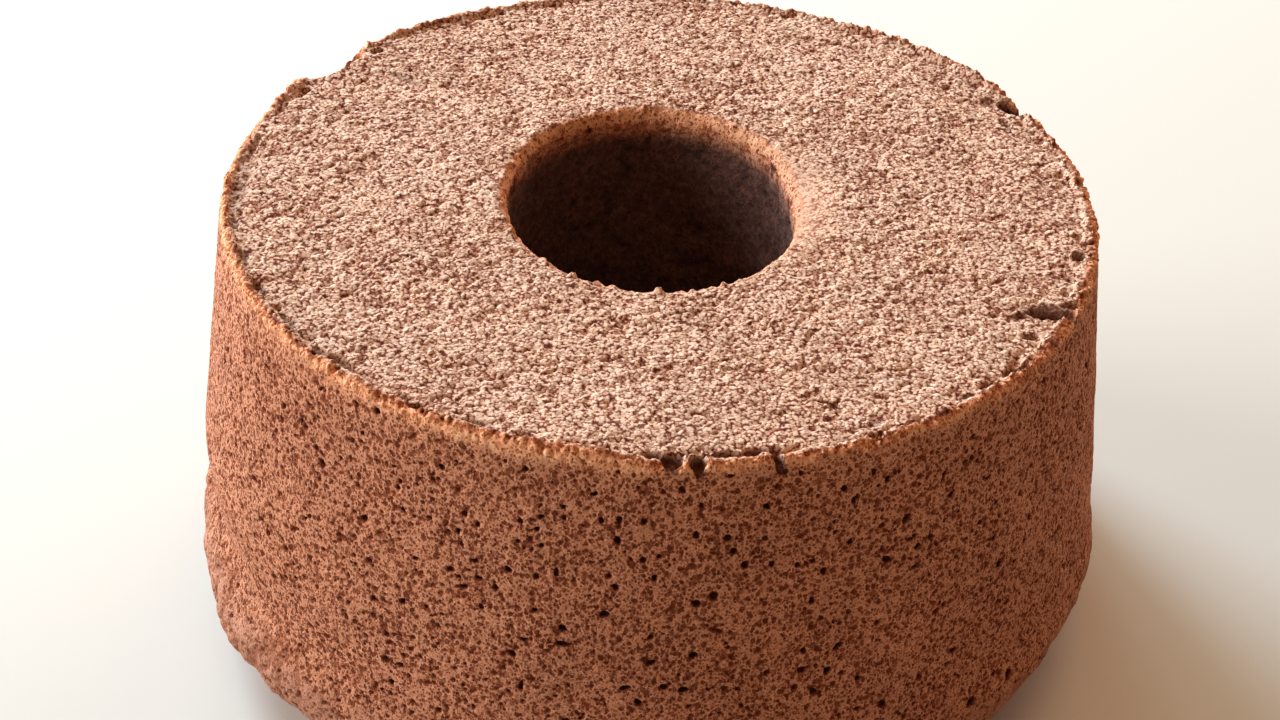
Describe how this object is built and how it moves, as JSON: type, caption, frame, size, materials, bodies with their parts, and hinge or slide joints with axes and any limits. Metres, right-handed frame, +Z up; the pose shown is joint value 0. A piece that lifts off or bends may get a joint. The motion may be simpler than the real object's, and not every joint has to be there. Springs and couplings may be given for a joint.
{
  "type": "chiffon cake",
  "caption": "Whole round cocoa chiffon cake with a tapered centre hole, turned out upside down: flat crumbly top, open-pored wall and rounded crown underneath.",
  "frame": {"origin": "middle of the base, on the surface the cake stands on", "axes": "+Z up through the tube hole, the pan-floor face on top; -Y faces the viewer of the reference view, +X to the viewer's right"},
  "size_m": [0.1676, 0.1668, 0.0811],
  "materials": {
    "crumb": null
  },
  "bodies": {
    "root": {"cake": "crumb"}
  },
  "joints": []
}
